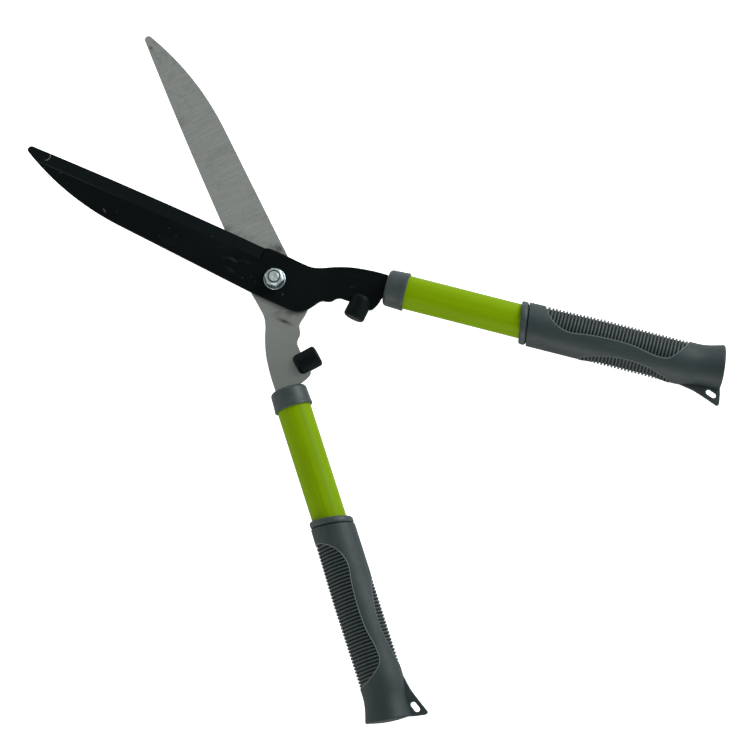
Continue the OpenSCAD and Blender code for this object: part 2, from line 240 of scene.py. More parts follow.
def cleaned(p, least=0.08):
    """Loop without points that lie closer together than least."""
    out = []
    for q in p:
        if not out or np.linalg.norm(q - out[-1]) > least:
            out.append(q)
    while len(out) > 3 and np.linalg.norm(out[-1] - out[0]) <= least:
        out.pop()
    return np.array(out)


def inset(p, d):
    """Loop moved to its left by d."""
    e = unit(np.roll(p, -1, 0) - p)
    n = np.stack([-e[:, 1], e[:, 0]], 1)
    m = unit(n + np.roll(n, 1, 0))
    c = np.clip((m * n).sum(1), 0.6, 1)
    return p + m * (d / c)[:, None]


def fill(loops, lines=()):
    """Triangles over the loops' inside, with extra lines kept as edges."""
    pts, edges = [], []
    for p in loops:
        n = len(pts)
        pts += [Vector(q) for q in p]
        edges += [(n + i, n + (i + 1) % len(p)) for i in range(len(p))]
    rim, rim_edges = len(pts), len(edges)
    for line in lines:
        n = len(pts)
        pts += [Vector(q) for q in line]
        edges += [(n + i, n + i + 1) for i in range(len(line) - 1)]
    out = delaunay_2d_cdt(pts, edges, [], 0, 1e-6)
    co, tri = np.array([tuple(v) for v in out[0]]), [tuple(f) for f in out[2]]
    wall = {frozenset(e) for e, orig in zip(out[1], out[4]) if any(o < rim_edges for o in orig)}
    sides = {}
    for i, f in enumerate(tri):
        for e in zip(f, f[1:] + f[:1]):
            sides.setdefault(frozenset(e), []).append(i)
    state = {}
    todo = [(s[0], e in wall) for e, s in sides.items() if len(s) == 1][:1]
    while todo:
        i, is_in = todo.pop()
        if i in state:
            continue
        state[i] = is_in
        f = tri[i]
        for e in map(frozenset, zip(f, f[1:] + f[:1])):
            todo += [(j, is_in != (e in wall)) for j in sides[e] if j not in state]
    back = {i: o for i, orig in enumerate(out[3]) for o in orig if o < rim}
    return co, [f for i, f in enumerate(tri) if state.get(i)], back


def plate(outline, holes, top, bottom, radius=0.25, lines=(), steps=4, mats=(0, 1, 2)):
    """Plate with rounded edges.

    top is a function of x and y, and mats are the numbers for the top, the side and the bottom.
    """
    outline, holes = cleaned(outline), [cleaned(h) for h in holes]
    loops = [outline if area(outline) > 0 else outline[::-1]]
    loops += [h if area(h) < 0 else h[::-1] for h in holes]
    turns = [math.pi / 2 * k / steps for k in range(steps + 1)]
    levels = [(radius * (1 - math.sin(a)), True, radius * (1 - math.cos(a))) for a in turns]
    levels += [(d, False, drop) for d, _, drop in levels[::-1]]
    tops, bottoms, verts, faces, fm = [], [], [], [], []
    for loop in loops:
        rows = []
        for d, upper, drop in levels:
            p = inset(loop, d)
            z = top(p[:, 0], p[:, 1]) - drop if upper else np.full(len(p), bottom + drop)
            rows.append(np.arange(len(verts), len(verts) + len(p)))
            verts += list(zip(p[:, 0], p[:, 1], z))
        for i in range(len(rows) - 1):
            m = mats[0] if i < steps - 1 else mats[2] if i > steps + 1 else mats[1]
            for k in range(len(loop)):
                n = (k + 1) % len(loop)
                faces.append((rows[i][k], rows[i + 1][k], rows[i + 1][n], rows[i][n]))
                fm.append(m)
        tops.append((inset(loop, radius), rows[0]))
        bottoms.append((inset(loop, radius), rows[-1]))
    for group, extra, flip, m in ((tops, lines, False, mats[0]), (bottoms, (), True, mats[2])):
        co, tri, back = fill([g[0] for g in group], extra)
        ids = np.concatenate([g[1] for g in group])
        new = {}
        z = top(co[:, 0], co[:, 1]) if not flip else np.full(len(co), bottom)
        for i in range(len(co)):
            if i in back:
                new[i] = int(ids[back[i]])
            else:
                new[i] = len(verts)
                verts.append((co[i][0], co[i][1], z[i]))
        for t in tri:
            q = tuple(new[i] for i in t)
            faces.append(q[::-1] if flip else q)
            fm.append(m)
    used = sorted(set(i for f in faces for i in f))
    index = {u: i for i, u in enumerate(used)}
    return Shape().add([verts[u] for u in used], [tuple(index[i] for i in f) for f in faces], fm)


def shade(mesh, sharp):
    """Smooth shading, with sharp edges from an angle in degrees."""
    mesh.polygons.foreach_set("use_smooth", [True] * len(mesh.polygons))
    mesh.set_sharp_from_angle(angle=math.radians(sharp))


def added(name, data):
    """New object in the scene."""
    obj = bpy.data.objects.new(name, data)
    bpy.context.scene.collection.objects.link(obj)
    return obj


def make(name, shape, place, mats, sharp=SHARP):
    """Object from a shape in millimetres, in its own frame."""
    mesh = bpy.data.meshes.new(name)
    mesh.from_pydata([(x * MM, y * MM, z * MM) for x, y, z in shape.v], [], shape.f)
    for m in mats:
        mesh.materials.append(m)
    mesh.polygons.foreach_set("material_index", shape.m)
    mesh.validate()
    bm = bmesh.new()
    bm.from_mesh(mesh)
    bmesh.ops.remove_doubles(bm, verts=bm.verts, dist=1e-7)
    bmesh.ops.recalc_face_normals(bm, faces=bm.faces)
    bm.to_mesh(mesh)
    bm.free()
    shade(mesh, sharp)
    obj = added(name, mesh)
    obj.matrix_world = place
    return obj


def boolean(obj, shape, operation="DIFFERENCE"):
    """Cuts a shape out of an object built by make(), or joins it on with UNION."""
    tool = make("cutter", shape, obj.matrix_world.copy(), list(obj.data.materials))
    mod = obj.modifiers.new("cut", "BOOLEAN")
    mod.operation, mod.object, mod.solver = operation, tool, "EXACT"
    bpy.context.view_layer.update()
    deps = bpy.context.evaluated_depsgraph_get()
    mesh = bpy.data.meshes.new_from_object(obj.evaluated_get(deps))
    obj.modifiers.clear()
    obj.data = mesh
    bpy.data.objects.remove(tool)
    shade(mesh, SHARP)
    return obj


def box(x0, x1, y0, y1, z0, z1):
    v = [(x, y, z) for x in (x0, x1) for y in (y0, y1) for z in (z0, z1)]
    f = [(0, 1, 3, 2), (4, 6, 7, 5), (0, 4, 5, 1), (2, 3, 7, 6), (0, 2, 6, 4), (1, 5, 7, 3)]
    return Shape().add(v, f)


def prism(loop, y0, y1):
    """Loop in x and z carried along y."""
    loop = loop if area(loop) > 0 else loop[::-1]
    co, tri, back = fill([loop])
    n = len(loop)
    v = [(x, y0, z) for x, z in loop] + [(x, y1, z) for x, z in loop]
    f = [(i, (i + 1) % n, n + (i + 1) % n, n + i) for i in range(n)]
    for t in tri:
        f.append(tuple(back[i] for i in t))
        f.append(tuple(n + back[i] for i in t[::-1]))
    return Shape().add(v, f)


def sweep(path, radius, sides=8):
    """Closed bead along a closed path that runs round the z axis."""
    p = np.array(path, float)
    t = unit(np.roll(p, -1, 0) - np.roll(p, 1, 0))
    out = unit(p * [1, 1, 0])
    out = unit(out - (out * t).sum(1)[:, None] * t)
    side = np.cross(t, out)
    n = len(p)
    v, f = [], []
    for i in range(n):
        for k in range(sides):
            a = 2 * math.pi * k / sides
            v.append(p[i] + radius * (math.cos(a) * out[i] + math.sin(a) * side[i]))
    for i in range(n):
        j = (i + 1) % n
        for k in range(sides):
            m = (k + 1) % sides
            f.append((i * sides + k, i * sides + m, j * sides + m, j * sides + k))
    return Shape().add(v, f)


# ---- finishes

def srgb(r, g, b):
    """Colour for a shader from its screen values."""
    return tuple((c / 255 / 12.92) if c <= 10 else ((c / 255 + 0.055) / 1.055) ** 2.4
                 for c in (r, g, b)) + (1.0,)


def feed(tree, slot, value):
    """Links a socket to a node's input, or sets the input to a plain value."""
    if isinstance(value, bpy.types.NodeSocket):
        tree.links.new(value, slot)
    else:
        slot.default_value = value


def node(tree, kind, **inputs):
    """New shader node, with its inputs fed by name."""
    n = tree.nodes.new(kind)
    for key, value in inputs.items():
        feed(tree, n.inputs[key.replace("_", " ")], value)
    return n


def ramp(tree, value, low, high, to_low=0.0, to_high=1.0):
    """A value spread from low..high to to_low..to_high, and held at the ends."""
    n = node(tree, "ShaderNodeMapRange", Value=value, From_Min=low, From_Max=high,
             To_Min=to_low, To_Max=to_high)
    return n.outputs[0]


class Finish:
    """A material with one Principled shader, coloured by noise in the piece's own millimetres."""

    def __init__(self, name, colour, rough, metal=0.0, specular=0.5):
        self.mat = bpy.data.materials.new(name)
        self.mat.use_nodes = True
        self.tree = self.mat.node_tree
        self.inputs = self.tree.nodes["Principled BSDF"].inputs
        self.inputs["Metallic"].default_value = metal
        self.inputs["Specular IOR Level"].default_value = specular
        self.bump = None
        self.where = self.new("ShaderNodeTexCoord").outputs["Object"]
        self.coat(srgb(*colour))
        self.blur(rough)

    def coat(self, colour):
        self.colour = colour
        feed(self.tree, self.inputs["Base Color"], colour)

    def blur(self, rough):
        self.rough = rough
        feed(self.tree, self.inputs["Roughness"], rough)

    def new(self, kind, **inputs):
        return node(self.tree, kind, **inputs)

    def noise(self, scale, detail=3.0, shift=(0, 0, 0), low=0.35, high=0.65, turn=(0, 0, 0)):
        """Noise spread from low..high to 0..1; scale is waves per millimetre, even or by axis."""
        scale = [s / MM for s in np.broadcast_to(scale, 3)]
        at = self.new("ShaderNodeMapping", Vector=self.where, Scale=scale, Location=shift,
                      Rotation=turn)
        n = self.new("ShaderNodeTexNoise", Vector=at.outputs[0], Scale=1.0, Detail=detail)
        return self.ramp(n.outputs["Fac"], low, high)

    def ramp(self, *values):
        return ramp(self.tree, *values)

    def math(self, op, a, b=0.0):
        n = self.new("ShaderNodeMath")
        n.operation = op
        feed(self.tree, n.inputs[0], a)
        feed(self.tree, n.inputs[1], b)
        return n.outputs[0]

    def both(self, a, b):
        """Where both masks are 1."""
        return self.math("MULTIPLY", a, b)

    def axis(self, name):
        """The piece's own coordinate in millimetres."""
        n = self.new("ShaderNodeSeparateXYZ", Vector=self.where)
        return self.math("MULTIPLY", n.outputs[name], 1 / MM)

    def near(self, value, at, width):
        """1 at a value and 0 further than a width from it."""
        d = self.math("ABSOLUTE", self.math("SUBTRACT", value, at))
        return self.ramp(d, 0.0, width, 1.0, 0.0)

    def along(self, at, angle):
        """Millimetres from a point, measured in a direction in the piece's x and y."""
        a = math.radians(angle)
        x = self.math("MULTIPLY", self.math("SUBTRACT", self.axis("X"), at[0]), math.cos(a))
        y = self.math("MULTIPLY", self.math("SUBTRACT", self.axis("Y"), at[1]), math.sin(a))
        return self.math("ADD", x, y)

    def mark(self, at, angle, length, width):
        """An oblong patch, fading out at its rim."""
        return self.both(self.near(self.along(at, angle), 0.0, length),
                         self.near(self.along(at, angle + 90), 0.0, width))

    def tint(self, mask, colour, amount=1.0):
        """Lays a colour over the ones so far, where the mask is 1."""
        n = self.new("ShaderNodeMix")
        n.data_type = "RGBA"
        feed(self.tree, n.inputs[0], self.math("MULTIPLY", mask, amount))
        feed(self.tree, n.inputs[6], self.colour)
        feed(self.tree, n.inputs[7], srgb(*colour))
        self.coat(n.outputs[2])

    def roughen(self, mask, amount):
        self.blur(self.math("ADD", self.rough, self.math("MULTIPLY", mask, amount)))

    def relief(self, height, depth_mm, strength=1.0):
        """Raises the surface by a few hundredths of a millimetre."""
        n = self.new("ShaderNodeBump", Height=height, Strength=strength, Distance=depth_mm * MM)
        if self.bump is not None:
            feed(self.tree, n.inputs["Normal"], self.bump)
        self.bump = n.outputs[0]
        feed(self.tree, self.inputs["Normal"], self.bump)


def lacquer_finish():
    """Black lacquer with rubs beside the pivot, a few specks, two scratches and a painted highlight
    along the bevel's ridge line.
    """
    f = Finish("blade_lacquer", (6, 12, 12), 0.36, specular=0.06)
    f.tint(f.noise((0.02, 0.012, 0.02), 2, (4, 1, 0), 0.45, 0.75), (16, 22, 23), 0.7)
    f.tint(f.noise((0.30, 0.05, 0.3), 4, (9, 3, 0), 0.60, 0.8), (27, 33, 34), 0.35)
    worn = f.both(f.near(f.axis("Y"), 33.0, 26.0), f.near(f.axis("X"), -3.0, 15.0))
    rub = f.noise((0.32, 0.10, 0.3), 5, (1, 8, 4), 0.56, 0.70, (0, 0, 0.7))
    f.tint(f.both(worn, rub), (40, 47, 48), 0.55)
    f.tint(f.noise((0.55, 0.45, 0.5), 2, (6, 2, 9), 0.76, 0.79), (120, 126, 124), 0.8)
    # painted highlight along the ridge where the bevel starts
    line = f.near(f.along(edge_point(-BEVEL_W, 0), math.degrees(EDGE_A)), 0.0, 0.6)
    f.tint(f.both(line, f.ramp(f.axis("Y"), 120.0, 175.0)), (70, 68, 62), 0.7)
    f.tint(f.mark((-13.5, 143.0), 60, 2.6, 0.9), (100, 106, 104), 0.7)
    f.tint(f.mark((-7.3, -11.0), 20, 1.4, 0.7), (92, 98, 96), 0.6)
    f.roughen(f.noise(0.6, 4), 0.12)
    f.relief(f.noise(1.4, 4), 0.012)
    return f


def lacquer_bevel_finish():
    """The lacquer on the bevel, a little lighter and bluer than on the flat face as a painted
    highlight, brushed along the edge, with a bow of painted highlight at the tip for the rim of a
    pressed dimple.
    """
    # lighter than the flat face's lacquer: painted highlight on the bevel
    f = Finish("blade_lacquer_bevel_highlight", (8, 15, 17), 0.32, specular=0.07)
    f.tint(f.noise((0.05, 1.3, 0.3), 3, (2, 7, 0), 0.4, 0.7), (14, 22, 24), 0.6)
    f.tint(f.noise((0.5, 0.35, 0.5), 2, (3, 5, 1), 0.75, 0.79), (90, 96, 96), 0.6)
    # a bow of painted highlight where the rim of the tip's pressed dimple catches the light; the
    # mesh has no dimple
    x, y = f.along((3.6, 206.0), 0), f.along((3.6, 206.0), 90)
    ring = f.math("SQRT", f.math("ADD", f.both(x, x), f.both(y, y)))
    dimple_highlight = f.both(f.near(ring, 4.0, 0.45), f.near(y, -3.4, 2.0))
    f.tint(dimple_highlight, (140, 146, 144), 0.8)
    f.relief(f.noise((0.06, 2.4, 0.4), 4, (0, 3, 0)), 0.01)
    return f


def rim_finish():
    """Sheared side of the plate."""
    f = Finish("blade_rim", (20, 25, 26), 0.45, metal=0.2, specular=0.2)
    f.tint(f.noise(0.5, 4), (44, 48, 48), 0.5)
    return f


def soot_finish():
    """Near-black painted shade on the step at the bevel's heel."""
    f = Finish("step_painted_shade", (3, 5, 5), 0.8, specular=0.0)
    f.tint(f.noise(0.5, 3), (8, 11, 12), 0.6)
    return f


def steel_finish():
    """Ground steel: lines across the blade, rubs and a smear by the boss, a dark strip and painted
    shade on the tang, spots toward the tip, painted shade at the tip's dimple.
    """
    f = Finish("blade_steel", (196, 202, 197), 0.38, metal=1.0)
    grind = f.noise((0.035, 2.2, 0.2), 6, (3, 1, 5), 0.3, 0.7, (0, 0, 0.10))
    f.tint(grind, (150, 156, 151), 0.85)
    f.tint(f.noise((0.05, 1.2, 0.1), 3, (8, 2, 2), 0.55, 0.8, (0, 0, 0.13)), (208, 213, 209), 0.5)
    f.tint(f.noise((0.045, 0.06, 0.1), 4, (11, 6, 2), 0.55, 0.85), (132, 138, 134), 0.5)
    tip = f.ramp(f.axis("Y"), 120.0, 215.0)
    blot = f.noise((0.22, 0.16, 0.2), 5, (5, 8, 1), 0.50, 0.72)
    f.tint(f.both(blot, tip), (104, 110, 107), 0.35)
    fine = f.noise((0.30, 1.6, 0.3), 5, (6, 6, 1), 0.55, 0.75, (0, 0, 0.10))
    f.tint(fine, (120, 126, 122), 0.5)
    f.tint(f.ramp(f.axis("Y"), -60.0, 10.0, 1.0, 0.0), (150, 156, 151), 0.8)
    # dark spot: painted shade of a pressed dimple at the tip, which the mesh does not have
    f.tint(f.mark((4.0, 213.0), 70, 2.6, 1.7), (58, 62, 60), 0.9)
    beside = f.ramp(f.along((0, 0), 145), 18.0, 25.0, 1.0, 0.0)
    rub = f.noise((0.10, 0.26, 0.2), 4, (2, 2, 7), 0.42, 0.64, (0, 0, 0.6))
    above = f.both(beside, f.ramp(f.axis("Y"), 2.0, 6.0))
    f.tint(f.both(above, rub), (104, 108, 106), 0.55)
    smear = f.both(f.mark((-14.0, 20.5), 52, 11.0, 5.0),
                   f.noise((0.5, 0.12, 0.2), 4, (7, 3, 3), 0.25, 0.6, (0, 0, -0.66)))
    f.tint(smear, (46, 50, 49), 0.9)
    f.tint(f.mark((7.9, -32.1), 50, 9.0, 2.2), (38, 38, 38), 0.95)
    # painted shade on the tang behind the pivot
    shade = f.both(f.mark((4.0, -27.0), 30, 14.0, 6.0),
                   f.noise((0.12, 0.3, 0.2), 4, (4, 3, 3), 0.4, 0.65, (0, 0, -0.7)))
    f.tint(shade, (96, 96, 94), 0.8)
    specks = f.noise((0.45, 0.35, 0.4), 3, (1, 5, 9), 0.72, 0.78)
    f.tint(specks, (92, 97, 96), 0.5)
    f.roughen(grind, 0.08)
    f.relief(grind, 0.012, 0.7)
    return f


def lime_finish():
    """Lime paint with faint lengthwise streaks."""
    f = Finish("lime_paint", (113, 146, 0), 0.36, specular=0.05)
    streak = f.noise((0.5, 0.5, 0.012), 5, (2, 2, 2), 0.35, 0.7)
    f.tint(streak, (124, 157, 4), 0.5)
    f.tint(f.noise((0.30, 0.30, 0.006), 5, (5, 1, 2), 0.50, 0.72), (99, 130, 0), 0.5)
    f.tint(f.noise((0.05, 0.05, 0.02), 3, (7, 2, 2), 0.5, 0.75), (108, 139, 0), 0.6)
    f.roughen(streak, 0.08)
    f.relief(f.noise((0.35, 0.35, 0.05), 3), 0.02)
    return f


def slate_finish():
    """Hard slate plastic of the collars and the grip's core."""
    f = Finish("slate_plastic", (50, 60, 61), 0.42, specular=0.3)
    f.tint(f.noise(0.25, 4), (61, 72, 74), 0.5)
    f.relief(f.noise(1.6, 3), 0.02)
    return f


def slate_dark_finish():
    """The same plastic, darker as painted shade in grooves and recesses."""
    f = Finish("slate_dark", (26, 32, 33), 0.5, specular=0.15)
    f.tint(f.noise(0.5, 4), (34, 41, 42), 0.6)
    return f


def grip_finish():
    """Soft grip shell, mottled and darker at the butt."""
    f = Finish("grip_rubber", (36, 49, 50), 0.47, specular=0.30)
    f.tint(f.noise((0.06, 0.06, 0.03), 4, (3, 1, 1)), (49, 60, 61), 0.6)
    f.tint(f.noise((0.35, 0.35, 0.05), 4, (1, 6, 2), 0.55, 0.75), (56, 66, 66), 0.35)
    f.tint(f.ramp(f.axis("Z"), 306.0, 330.0), (34, 46, 47), 0.7)
    f.roughen(f.noise(0.5, 4), 0.1)
    f.relief(f.noise(2.2, 2), 0.03)
    return f


def bead_finish():
    """Raised line along the shell's windows, lighter than the shell as a painted highlight along
    their edges.
    """
    f = Finish("grip_bead_highlight", (80, 92, 92), 0.45, specular=0.35)
    f.tint(f.noise(0.4, 3), (86, 97, 97), 0.6)
    return f


def rubber_finish():
    """Rubber of the stops."""
    f = Finish("stop_rubber", (2, 10, 11), 0.42, specular=0.09)
    f.tint(f.noise(0.4, 4), (7, 17, 18), 0.6)
    f.relief(f.noise(2.0, 3), 0.03)
    return f


def plug_finish():
    """Pale plastic inside the handles."""
    f = Finish("plug_plastic", (214, 210, 196), 0.45)
    f.tint(f.noise((0.2, 0.2, 0.1), 4), (200, 196, 180), 0.6)
    return f


def zinc_finish():
    """Bright zinc plating."""
    f = Finish("zinc_steel", (190, 205, 207), 0.26, metal=1.0)
    f.tint(f.noise(0.35, 4, (2, 4, 1)), (160, 176, 178), 0.7)
    f.roughen(f.noise(0.8, 4), 0.12)
    f.relief(f.noise(1.2, 4), 0.012)
    return f


def zinc_dark_finish():
    """Zinc plating darkened as painted shade, on the nut's flats and at the foot of its flange."""
    f = Finish("zinc_steel_shaded", (80, 95, 97), 0.34, metal=1.0)
    f.tint(f.noise((0.30, 0.30, 0.2), 4, (5, 1, 3), 0.4, 0.65), (48, 60, 62), 0.8)
    return f


def zinc_groove_finish():
    """Zinc plating darkened as painted shade, in the groove round the nut's neck."""
    f = Finish("zinc_steel_groove", (40, 52, 54), 0.4, metal=0.6)
    f.tint(f.noise(0.5, 3), (60, 72, 74), 0.5)
    return f


def bolt_end_finish():
    """The bolt's sawn end."""
    f = Finish("bolt_end", (176, 190, 188), 0.5, metal=1.0)
    f.tint(f.noise(0.9, 3, (3, 1, 2)), (214, 226, 222), 0.7)
    return f


def spring_finish():
    """Disc spring."""
    f = Finish("spring_steel", (120, 122, 122), 0.35, metal=1.0)
    f.tint(f.noise(0.3, 4), (92, 92, 90), 0.7)
    return f


def nylon_finish():
    """Locking ring in the nut."""
    f = Finish("insert_nylon", (34, 44, 46), 0.45)
    f.tint(f.noise(0.6, 3), (46, 57, 59), 0.6)
    return f


FINISHES = (lacquer_finish, lacquer_bevel_finish, rim_finish, soot_finish, steel_finish,
            lime_finish, slate_finish, slate_dark_finish, grip_finish, bead_finish,
            rubber_finish, plug_finish, zinc_finish, zinc_dark_finish, zinc_groove_finish,
            bolt_end_finish, spring_finish, nylon_finish)


# ---- blades

EDGE_A = math.atan((HEEL[0] - TIP_X - TIP_R) / (BLADE_L - TIP_R - HEEL[1]))  # the edge's lean
SLOPE = (BLADE_T - EDGE_T) / BEVEL_W  # fall of the bevel


def edge_frame(x, y):
    """Distances across and along the cutting edge from its heel."""
    dx, dy = x - HEEL[0], y - HEEL[1]
    return (dx * math.cos(EDGE_A) + dy * math.sin(EDGE_A),
            -dx * math.sin(EDGE_A) + dy * math.cos(EDGE_A))


def edge_point(across, along):
    """The point at these distances from the heel."""
    return (HEEL[0] + across * math.cos(EDGE_A) - along * math.sin(EDGE_A),
            HEEL[1] + across * math.sin(EDGE_A) + along * math.cos(EDGE_A))


def blade_top(x, y):
    """Height of the blade's outer face: flat, then sloping to the cutting edge."""
    across, along = edge_frame(x, y)
    cut = SLOPE * np.maximum(across + BEVEL_W, 0)
    return FACE_Z - np.where(along > STEP / 2, cut, 0)


def flat_loops(half, place):
    """Outline and holes of the blade's inner face, from the CAD mesh."""
    bm = bmesh.new()
    bm.from_mesh(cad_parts[half + "_blade"].data)
    bmesh.ops.remove_doubles(bm, verts=bm.verts, dist=1e-6)
    inv = place.inverted()
    co = {v.index: inv @ v.co / MM for v in bm.verts}
    face = {f for f in bm.faces if all(abs(co[v.index].z - BACK_Z) < 0.01 for v in f.verts)}
    rim = {}
    for e in bm.edges:
        if sum(f in face for f in e.link_faces) == 1:
            for a, b in ((0, 1), (1, 0)):
                rim.setdefault(e.verts[a].index, []).append(e.verts[b].index)
    loops = []
    while rim:
        start = next(iter(rim))
        loop, here, last = [], start, None
        while True:
            loop.append(here)
            step = [n for n in rim.pop(here) if n != last and (n in rim or n == start)]
            if not step or step[0] == start and len(loop) > 2:
                break
            last, here = here, step[0]
        loops.append(np.array([co[i][:2] for i in loop]))
    bm.free()
    loops.sort(key=lambda p: -abs(area(p)))
    return loops


def with_crossings(loop, axis, at):
    """Adds the points where a loop is at a distance across (axis 0) or along (1) the edge."""
    out, skip = [], False
    for a, b in zip(loop, np.roll(loop, -1, 0)):
        if not skip:
            out.append(a)
        skip = False
        ea, eb = edge_frame(*a), edge_frame(*b)
        fa, fb = ea[axis] - at, eb[axis] - at
        if fa * fb < 0:
            t = fa / (fa - fb)
            across, along = (m + t * (n - m) for m, n in zip(ea, eb))
            if along > 1 if axis == 0 else across > -BEVEL_W:
                q = a + t * (b - a)
                if np.linalg.norm(q - a) < 0.1:
                    out.pop()
                skip = np.linalg.norm(q - b) < 0.1
                out.append(q)
    return np.array(out)


def blade(half, m, place):
    """Blade and tang in one plate, with the bevel and its step on the outer face."""
    names = "lacquer", "rim", "steel", "lacquer_bevel", "soot"
    outer, side, inner, bevel, step = range(len(names))
    tip_gap = 0.7
    loops = flat_loops(half, place)
    loop = resample(loops[0], 1.2)
    for axis, at in ((0, -BEVEL_W), (1, 0.0), (1, STEP)):
        loop = with_crossings(loop, axis, at)
    reach = [edge_frame(*p)[1] for p in loop if abs(edge_frame(*p)[0] + BEVEL_W) < 1e-4]
    lines = [[edge_point(-BEVEL_W, STEP), edge_point(-BEVEL_W, max(reach) - tip_gap)],
             [edge_point(-BEVEL_W, STEP), edge_point(-0.5, STEP)],
             [edge_point(-BEVEL_W, 0.0), edge_point(-0.5, 0.0)]]
    holes = [resample(p, 1.0) for p in loops[1:]]
    shape = plate(loop, holes, blade_top, BACK_Z, 0.22, lines, 3, (outer, side, inner))
    for i, (face, mat) in enumerate(zip(shape.f, shape.m)):
        if mat == outer:
            middle = np.mean([shape.v[j] for j in face], axis=0)
            across, along = edge_frame(middle[0], middle[1])
            if across > -BEVEL_W and along > 0:
                # the step's faces take the near-black finish as painted shade
                shape.m[i] = bevel if along > STEP else step
    return make(half + "_blade_plate", shape, place, [m[n] for n in names], 9)


# ---- handles

ACROSS = Matrix.Rotation(math.pi / 2, 4, "X")  # lays a shape's z across the handle


def level(height):
    """A plate's top at one height."""
    return lambda x, y: np.full(np.shape(x), height)


def slot_cutter(start, end):
    """Room for the tang, between two distances along the handle."""
    x, y = TANG_W / 2 + FIT, BLADE_T / 2 + FIT
    return box(-x, x, -y, y, start, end)


def pin_cutter():
    """Hole for the spring pin, across the handle."""
    r, reach = PIN_R + FIT, 20
    shape = revolve([(0, -reach), (r, -reach), (r, reach), (0, reach)], 48)
    return Shape().merge(shape, Matrix.Translation((0, 0, PIN_S)) @ ACROSS)


def stop(half, m, place):
    """Rubber stop across the half, cut to sit on the tang and round its lug."""
    lo, hi = span(half + "_stop", place)
    r, l, t = (hi[1] - lo[1]) / 2, hi[0] - lo[0], BLADE_T / 2 + FIT
    tip_round, seat_round = 2.4, 3.8
    seat, lug, lug_w = 9.55 - lo[0], 3.15 - lo[0], 4.55
    prof = [(0, 0.25), (r - tip_round - 2.2, 0.2), (r - tip_round - 1.2, 0)]
    prof += arc_points(r - tip_round, tip_round, tip_round, -90, 0, 8)
    prof += [(r - 0.06, l / 2)]
    prof += arc_points(r - seat_round, l - seat_round, seat_round, 0, 90, 8) + [(0, l)]
    tip = Vector((lo[0], (lo[1] + hi[1]) / 2, (lo[2] + hi[2]) / 2)) * MM
    at = place @ Matrix.Translation(tip) @ Matrix.Rotation(math.pi / 2, 4, "Y")
    obj = make(half + "_stop_buffer", revolve(prof, 96), at, [m["rubber"]], 50)
    boolean(obj, box(-t, t, -r - 1, r + 1, seat, l + 1))
    return boolean(obj, box(-t, t, -lug_w, lug_w, lug, l + 1))


def collar(half, m, place):
    """Cap on the tube's front: rounded nose, slot for the tang, low lip at the back."""
    r, s, end, nose, bore = COLLAR_R, COLLAR_S, COLLAR_S + COLLAR_L, 3.2, TUBE_R + FIT
    flat, wall_end = r - 0.7 - nose, s + 2.6
    prof = [(0, wall_end), (0, s), (flat - 2.6, s), (flat - 2.3, s + 0.25),
            (flat - 1.5, s + 0.25), (flat - 1.2, s)]
    front = len(prof) + 2
    prof += arc_points(flat, s + nose, nose, -90, 0, 10)
    prof += [(flat + nose + 0.25, s + 8), (r - 0.2, end - 2.2), (r - 0.02, end - 1.9),
             (r, end - 1.5), (r, end - 0.35), (r - 0.3, end - 0.05), (bore + 0.4, end),
             (bore, end - 0.35), (bore, wall_end)]
    # the front face takes the darker plastic as painted shade
    shape = revolve(prof, 128, wrap=True, mat=lambda row: 1 if row < front else 0)
    obj = make(half + "_collar_cap", shape, place, [m["slate"], m["slate_dark"]], 35)
    return boolean(obj, slot_cutter(s - 1, s + 5))


def tube(half, m, place):
    """The handle's painted tube."""
    r, inner, a, b = TUBE_R, TUBE_R - TUBE_WALL, TUBE_S, TUBE_END
    prof = [(r - 0.15, a), (r, a + 0.15), (r, a + 60), (r, a + 120), (r, a + 180), (r, b - 0.15),
            (r - 0.15, b), (inner + 0.1, b), (inner, b - 0.1), (inner, a + 0.1), (inner + 0.1, a)]
    obj = make(half + "_tube_pipe", revolve(prof, 128, wrap=True), place, [m["lime"]])
    return boolean(obj, pin_cutter())


def plug(half, m, place):
    """Plug with five grooves that holds the tang in the tube."""
    r, a = TUBE_R - TUBE_WALL - FIT, TUBE_S + 0.4
    end, deep, wide = a + PLUG_L, 0.5, 3.0
    prof = [(0, a), (r - 0.8, a), (r, a + 0.8)]
    for k in range(5):
        s = a + 12 + 9 * k
        prof += [(r, s), (r - deep, s + deep), (r - deep, s + wide - deep), (r, s + wide)]
    prof += [(r, end - 1.2), (r - 1.2, end), (0, end)]
    obj = make(half + "_tang_plug_core", revolve(prof, 96), place, [m["plug"]])
    boolean(obj, slot_cutter(a - 1, TANG_END))
    return boolean(obj, pin_cutter())


def pin(half, m, place):
    """Rolled spring pin with a gap along one side."""
    gap = 12
    loop = arc_points(0, 0, PIN_R, gap, 360 - gap, 36)
    loop += arc_points(0, 0, PIN_R - PIN_WALL, 360 - gap, gap, 36)
    shape = plate(np.array(loop), [], level(PIN_L / 2), -PIN_L / 2, 0.18, (), 3, (0, 0, 0))
    at = place @ Matrix.Translation((0, 0, PIN_S * MM)) @ ACROSS
    return make(half + "_tang_pin_roll", shape, at, [m["zinc"]])


# ---- grips

# Edge of the outer window, as points across and along the handle
OUTER_EDGE = [(17.6, 204.4), (12.6, 206), (6.4, 210), (1.4, 215.5), (-1.7, 222), (-2.9, 230),
              (-1.5, 240), (-0.5, 252), (-0.2, 266), (-0.8, 278), (-2.7, 288), (-4, 298),
              (-3.1, 304.5), (0, 308.6), (5.2, 312.6), (11, 316), (17.6, 318.2)]
ARCH_S, ARCH_L, ARCH_H = 236.0, 78.0, 6.4   # start, length and height of the inner window
SLIM, SLIM_END, SLIM_L = 0.08, 252.0, 56.0  # slimmer outer side: share, where it ends, its length
CORE_GAP = 0.46                             # from the shell's outside to the core under it


